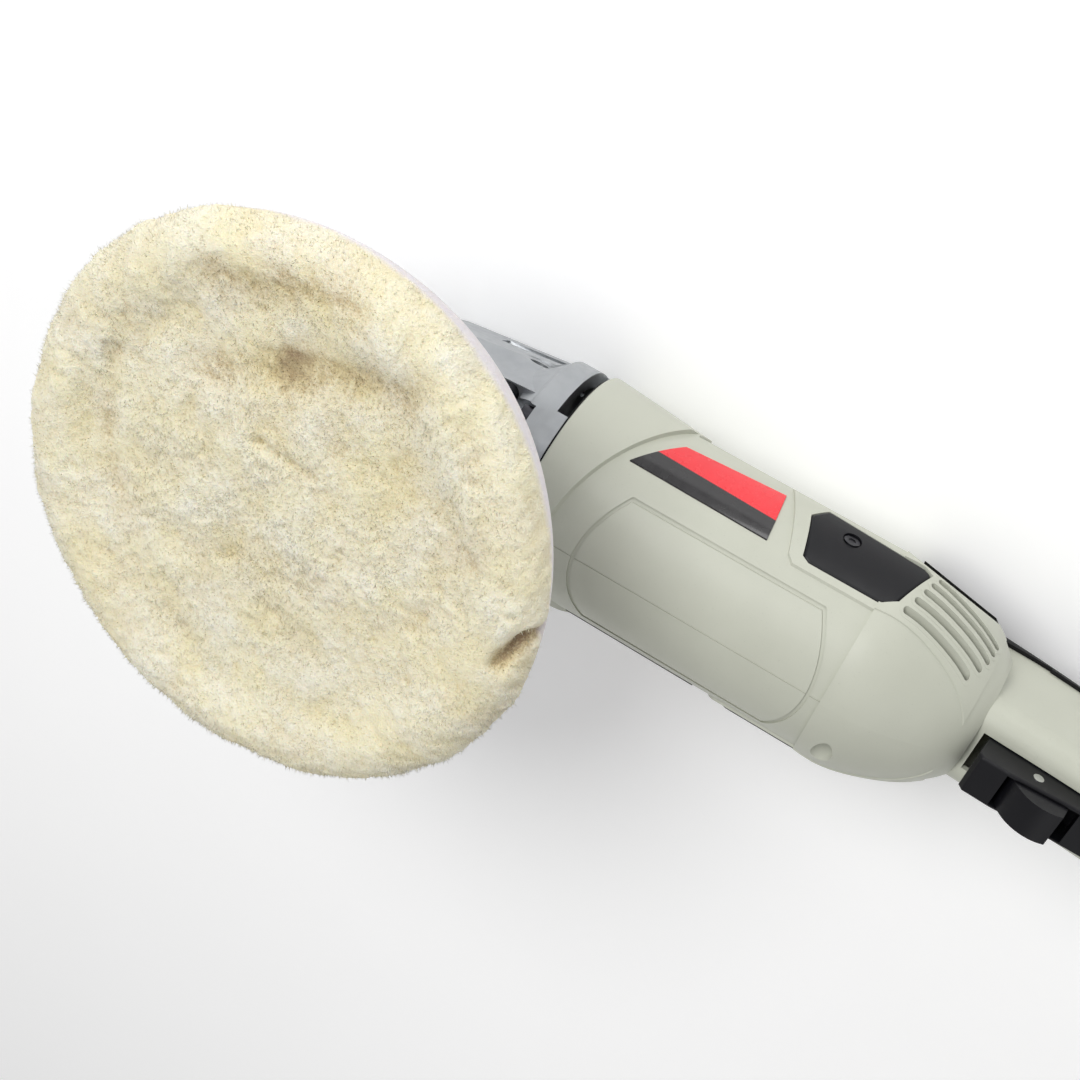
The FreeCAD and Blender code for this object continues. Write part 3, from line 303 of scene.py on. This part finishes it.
class Surface:
    """A procedural material with one Principled shader and its texture nodes."""

    def __init__(self, name, **sockets):
        self.material = bpy.data.materials.new(name)
        self.material.use_nodes = True
        self.tree = self.material.node_tree
        self.shader = self.tree.nodes["Principled BSDF"]
        for socket, value in sockets.items():
            self.shader.inputs[socket.replace("_", " ")].default_value = value
        coordinates = self.tree.nodes.new("ShaderNodeTexCoord")
        self.place = coordinates.outputs["Object"]
        self.normal = None

    def node(self, kind, **inputs):
        made = self.tree.nodes.new(kind)
        for socket, value in inputs.items():
            self.feed(made.inputs[socket.replace("_", " ")], value)
        return made

    def feed(self, socket, value):
        if isinstance(value, bpy.types.NodeSocket):
            self.tree.links.new(value, socket)
        else:
            socket.default_value = value

    def noise(self, size_mm, detail=3.0, rough=0.55, place=None):
        made = self.node("ShaderNodeTexNoise", Scale=1000 / size_mm, Detail=detail, Roughness=rough)
        self.tree.links.new(place or self.place, made.inputs["Vector"])
        return made.outputs["Fac"]

    def voronoi(self, size_mm):
        made = self.node("ShaderNodeTexVoronoi", Scale=1000 / size_mm)
        self.tree.links.new(self.place, made.inputs["Vector"])
        return made.outputs["Distance"]

    def attribute(self, name):
        made = self.tree.nodes.new("ShaderNodeAttribute")
        made.attribute_name = name
        return made.outputs["Fac"]

    def coordinate(self, axis):
        made = self.node("ShaderNodeSeparateXYZ")
        self.tree.links.new(self.place, made.inputs[0])
        return made.outputs[axis]

    def math(self, operation, a, b):
        made = self.tree.nodes.new("ShaderNodeMath")
        made.operation = operation
        self.feed(made.inputs[0], a)
        self.feed(made.inputs[1], b)
        return made.outputs[0]

    def spread(self, value, low, high, to_low=0.0, to_high=1.0):
        made = self.node("ShaderNodeMapRange")
        for k, number in enumerate((value, low, high, to_low, to_high)):
            self.feed(made.inputs[k], number)
        return made.outputs[0]

    def ramp(self, value, stops):
        made = self.tree.nodes.new("ShaderNodeValToRGB")
        elements = made.color_ramp.elements
        while len(elements) < len(stops):
            elements.new(0.5)
        for element, (position, colour) in zip(elements, stops):
            element.position = position
            element.color = colour
        self.feed(made.inputs[0], value)
        return made.outputs[0]

    def mix(self, share, first, second):
        made = self.tree.nodes.new("ShaderNodeMix")
        made.data_type = "RGBA"
        self.feed(made.inputs["Factor"], share)
        self.feed(made.inputs[6], first)
        self.feed(made.inputs[7], second)
        return made.outputs[2]

    def colour(self, value):
        self.feed(self.shader.inputs["Base Color"], value)

    def roughness(self, value):
        self.feed(self.shader.inputs["Roughness"], value)

    def bump(self, height, depth_mm, strength):
        made = self.node("ShaderNodeBump", Strength=strength, Distance=depth_mm * MM, Height=height)
        if self.normal:
            self.tree.links.new(self.normal, made.inputs["Normal"])
        self.normal = made.outputs[0]
        self.tree.links.new(self.normal, self.shader.inputs["Normal"])


def moulded_plastic(name, colour, shade, grain=0.7, rough=(0.42, 0.48), relief=0.018, shine=0.5):
    """Moulded housing plastic: fine spark-eroded grain, soft blotches and specks."""
    s = Surface(name, IOR=1.5, Specular_IOR_Level=shine)
    blotch = s.noise(34, 4)
    base = s.mix(s.spread(blotch, 0.35, 0.65), linear(*colour), linear(*shade))
    specks = s.spread(s.noise(0.8, 2), 0.66, 0.74, 0, 0.2)
    s.colour(s.mix(specks, base, linear(*[c * 0.8 for c in colour])))
    s.roughness(s.spread(s.noise(9, 4), 0.3, 0.7, *rough))
    s.bump(s.noise(grain, 2), relief, 0.6)
    s.bump(s.noise(26, 2), 0.02, 0.12)
    return s.material


def cast_metal(name, colour, shade, rough=(0.3, 0.46)):
    """Die-cast metal: sandy skin and faint flow marks."""
    s = Surface(name, Metallic=0.86)
    flow = s.noise(18, 5)
    s.colour(s.mix(s.spread(flow, 0.3, 0.7), linear(*colour), linear(*shade)))
    s.roughness(s.spread(s.noise(3.5, 4), 0.3, 0.7, *rough))
    s.bump(s.noise(0.9, 3), 0.05, 0.55)
    s.bump(s.noise(7, 3), 0.1, 0.35)
    return s.material


def turned_metal(name, colour, rough=(0.2, 0.34)):
    """Machined metal with fine scratches and a trace of oil."""
    s = Surface(name, Metallic=1.0)
    dark = [c * 0.78 for c in colour]
    s.colour(s.mix(s.spread(s.noise(11, 4), 0.35, 0.7), linear(*colour), linear(*dark)))
    stretched = s.node("ShaderNodeMapping")
    s.tree.links.new(s.place, stretched.inputs["Vector"])
    stretched.inputs["Scale"].default_value = (1.0, 1.0, 9.0)
    scratches = s.noise(2.1, 5, 0.7, stretched.outputs[0])
    s.roughness(s.spread(scratches, 0.3, 0.7, *rough))
    s.bump(scratches, 0.012, 0.5)
    return s.material


def rubber(name, colour):
    """Matt rubber with a fine pebbled skin and a little dust."""
    s = Surface(name, IOR=1.45)
    dusty = [c + 14 for c in colour]
    s.colour(s.mix(s.spread(s.noise(14, 5), 0.42, 0.75), linear(*colour), linear(*dusty)))
    s.shader.inputs["Specular IOR Level"].default_value = 0.25
    s.roughness(s.spread(s.noise(5, 3), 0.3, 0.7, 0.55, 0.72))
    s.bump(s.voronoi(0.9), 0.03, 0.6)
    return s.material


def wool(name):
    """Cream lambswool with pale lavender hide at the hem; painted shade turns the roots, hollows and dents
    tan, and painted light makes the raised tips paler.
    """
    s = Surface(name, Roughness=0.93, Sheen_Weight=0.35, Sheen_Roughness=0.55)
    s.shader.inputs["Sheen Tint"].default_value = linear(255, 244, 215)
    s.shader.inputs["Specular IOR Level"].default_value = 0.15
    s.shader.inputs["Subsurface Weight"].default_value = 0.12
    s.shader.inputs["Subsurface Radius"].default_value = (0.006, 0.004, 0.002)
    # Painted shade: the strands' colour follows nearly the same fine noise as the bump below, darker in the
    # gaps between them.
    strands = s.math("MULTIPLY", s.math("SUBTRACT", s.noise(0.9, 3, 0.7), 0.5), 0.75)
    relief_shade_and_tone = s.math("ADD", s.attribute("relief_shade_and_tone"), strands)
    # Painted shade and light: the ramp runs from tan where the value is low, in dents and hollows, to near
    # white on the raised tufts.
    fleece = s.ramp(relief_shade_and_tone, [
        (0.0, linear(150, 124, 98)), (0.2, linear(208, 190, 152)), (0.42, linear(240, 231, 203)),
        (0.7, linear(250, 246, 226)), (1.0, linear(254, 252, 242))])
    patches = s.spread(s.noise(24, 3), 0.4, 0.64)
    fleece = s.mix(s.math("MULTIPLY", patches, 0.4), fleece, linear(246, 234, 178))
    dull = s.spread(s.noise(31, 4, 0.6), 0.5, 0.7)
    fleece = s.mix(s.math("MULTIPLY", dull, 0.15), fleece, linear(222, 204, 170))
    hide = s.mix(s.noise(3, 3), linear(232, 226, 234), linear(244, 240, 245))
    s.colour(s.mix(s.attribute("wool"), hide, fleece))
    s.bump(s.noise(0.9, 4, 0.7), 0.7, 1.0)
    return s.material


LABEL_LEVEL = 0.0135         # m from the motor's axis to the line between the fields, at X = 0
LABEL_SLOPE = 0.027          # rise of that line along X
LABEL_EDGE = 0.00012         # m, half the width over which one colour gives way to the other


def side_label(name):
    """Gloss side plate: one field red and one black, parted by a line along the motor."""
    s = Surface(name, IOR=1.5)
    s.shader.inputs["Coat Weight"].default_value = 0.6
    s.shader.inputs["Coat Roughness"].default_value = 0.08
    drop = s.math("MULTIPLY", s.coordinate("X"), LABEL_SLOPE)
    level = s.math("SUBTRACT", s.coordinate("Z"), s.math("ADD", drop, MOTOR_Z + LABEL_LEVEL))
    edge = s.spread(level, -LABEL_EDGE, LABEL_EDGE)
    red = s.mix(s.noise(20, 2), linear(238, 34, 46), linear(228, 28, 42))
    black = s.mix(s.noise(8, 3), linear(20, 18, 20), linear(32, 30, 32))
    s.colour(s.mix(edge, red, black))
    s.roughness(s.spread(s.noise(6, 4), 0.3, 0.7, 0.2, 0.32))
    s.bump(s.noise(1.4, 2), 0.008, 0.4)
    return s.material


def wound_wire(name, colour):
    """Varnished copper wire, its turns as fine ridges, with painted shade in the grooves between them and
    painted light on their crests.
    """
    s = Surface(name, Metallic=0.75)
    s.shader.inputs["Coat Weight"].default_value = 0.5
    wave = s.node("ShaderNodeTexWave", Scale=1100.0, Distortion=1.2, Detail=2.0)
    s.tree.links.new(s.place, wave.inputs["Vector"])
    # Painted shade and light: the colour follows the same wave as the bump, dark in the grooves and bright on
    # the crests of the turns.
    dark = [c * 0.45 for c in colour]
    s.colour(s.mix(wave.outputs["Fac"], linear(*dark), linear(*colour)))
    s.roughness(s.spread(s.noise(4), 0.3, 0.7, 0.25, 0.4))
    s.bump(wave.outputs["Fac"], 0.12, 0.8)
    return s.material


def laminated_steel(name):
    """Stack of thin sheets seen edge on."""
    s = Surface(name, Metallic=0.9)
    wave = s.node("ShaderNodeTexWave", Scale=640.0, Distortion=0.1)
    s.tree.links.new(s.place, wave.inputs["Vector"])
    s.colour(s.mix(wave.outputs["Fac"], linear(52, 54, 58), linear(104, 106, 110)))
    s.roughness(s.spread(s.noise(5), 0.3, 0.7, 0.35, 0.5))
    s.bump(wave.outputs["Fac"], 0.04, 0.7)
    return s.material


def painted_board(name):
    """Green circuit board with paler tracks."""
    s = Surface(name)
    tracks = s.spread(s.voronoi(2.6), 0.1, 0.16)
    s.colour(s.mix(tracks, linear(30, 104, 66), linear(16, 62, 40)))
    s.roughness(s.spread(s.noise(3), 0.3, 0.7, 0.3, 0.45))
    s.bump(tracks, 0.03, 0.5)
    return s.material


def make_materials():
    grey = (192, 194, 180)
    return {
        "grey_plastic": moulded_plastic("housing_plastic", grey, (188, 190, 176)),
        "black_plastic": moulded_plastic("black_plastic", (15, 15, 19), (19, 19, 23), rough=(0.34, 0.42),
                                         shine=0.3),
        "black_rubber": rubber("black_rubber", (20, 20, 21)),
        "pad_foam": moulded_plastic("pad_foam", (226, 226, 232), (214, 214, 222), 1.4, (0.7, 0.85), 0.2),
        "cast_aluminium": cast_metal("cast_aluminium", (176, 179, 181), (166, 169, 172)),
        "black_casting": cast_metal("black_casting", (30, 30, 33), (22, 22, 25), (0.4, 0.55)),
        "steel": turned_metal("steel", (178, 180, 184)),
        "bright_steel": turned_metal("bright_steel", (225, 226, 228), (0.12, 0.2)),
        "dark_steel": turned_metal("dark_steel", (72, 72, 76), (0.32, 0.46)),
        "copper": turned_metal("copper", (214, 138, 88), (0.24, 0.38)),
        "enamelled_wire": wound_wire("enamelled_wire", (176, 88, 40)),
        "carbon": moulded_plastic("carbon", (44, 44, 46), (34, 34, 36), 0.5, (0.5, 0.65)),
        "circuit": painted_board("circuit"),
        "label": side_label("side_label"),
        "wool": wool("lambswool"),
    }


def dress_frame(materials):
    """Gives every CAD node the material of its slot."""
    special = {"armature_core": laminated_steel("laminated_steel"),
               "armature_windings": materials["enamelled_wire"]}
    special["stator_core"] = special["armature_core"]
    for entry in frame["record"]["subparts"]:
        obj = NODES[entry["node"]]
        chosen = special.get(entry["node"], materials[entry["material_slot"]])
        if not obj.material_slots:
            obj.data.materials.append(chosen)
        for material_slot in obj.material_slots:
            material_slot.material = chosen


# ---------------------------------------------------------------- studio
CAMERA_PLACE = Vector((0.19309, 0.30230, 0.53514))
CAMERA_RIGHT = Vector((0.8423, 0.3120, -0.4396))
CAMERA_UP = Vector((-0.4938, 0.7737, -0.3969))
CAMERA_LENS = 48.68          # mm
CAMERA_SENSOR = 36.0         # mm
CLIP_START = 0.01
FLOOR_REACH = 3.0            # m from the middle of the floor to its edge
FLOOR_GLOW = 0.13
WORLD_STRENGTH = 0.40
WHITE = (1, 1, 1, 1)
LIGHT_TARGET = (0.1, 0, 0.08)
# Lights: name, place, size, power
LIGHTS = [
    ("key", (-0.35, 0.75, 1.25), 0.9, 13),
    ("fill", (0.9, -0.3, 1.1), 1.2, 2),
    ("rim", (0.2, 1.2, 0.35), 0.5, 2.5),
]


def make_camera():
    data = bpy.data.cameras.new("camera")
    data.sensor_width = CAMERA_SENSOR
    data.lens = CAMERA_LENS
    data.clip_start = CLIP_START
    camera = bpy.data.objects.new("camera", data)
    bpy.context.scene.collection.objects.link(camera)
    back = CAMERA_RIGHT.cross(CAMERA_UP)
    turn = Matrix((CAMERA_RIGHT, CAMERA_UP, back)).transposed().to_4x4()
    camera.matrix_world = Matrix.Translation(CAMERA_PLACE) @ turn
    bpy.context.scene.camera = camera


def area_light(name, place, size, power):
    data = bpy.data.lights.new(name, "AREA")
    data.shape = "DISK"
    data.size = size
    data.energy = power
    light = bpy.data.objects.new(name, data)
    bpy.context.scene.collection.objects.link(light)
    light.location = place
    aim = Vector(LIGHT_TARGET) - Vector(place)
    light.rotation_euler = aim.to_track_quat("-Z", "Y").to_euler()


def make_studio():
    s = Surface("floor_paper", Roughness=0.9)
    s.colour(s.mix(s.noise(60, 3), linear(250, 250, 250), linear(252, 252, 252)))
    s.bump(s.noise(2, 3), 0.05, 0.2)
    s.shader.inputs["Emission Color"].default_value = WHITE
    s.shader.inputs["Emission Strength"].default_value = FLOOR_GLOW
    mesh = bpy.data.meshes.new("floor")
    reach = FLOOR_REACH
    mesh.from_pydata([(-reach, -reach, 0), (reach, -reach, 0), (reach, reach, 0), (-reach, reach, 0)],
                     [], [(0, 1, 2, 3)])
    floor = bpy.data.objects.new("floor", mesh)
    floor.data.materials.append(s.material)
    bpy.context.scene.collection.objects.link(floor)
    world = bpy.data.worlds.new("studio")
    world.use_nodes = True
    background = world.node_tree.nodes["Background"]
    background.inputs["Color"].default_value = WHITE
    background.inputs["Strength"].default_value = WORLD_STRENGTH
    bpy.context.scene.world = world
    for light in LIGHTS:
        area_light(*light)
    bpy.context.scene.view_settings.view_transform = "Standard"


# ---------------------------------------------------------------- scene
materials = make_materials()
dress_frame(materials)
for piece in (wool_cover(), wool_fibres()):
    piece.data.materials.append(materials["wool"])
make_studio()
make_camera()
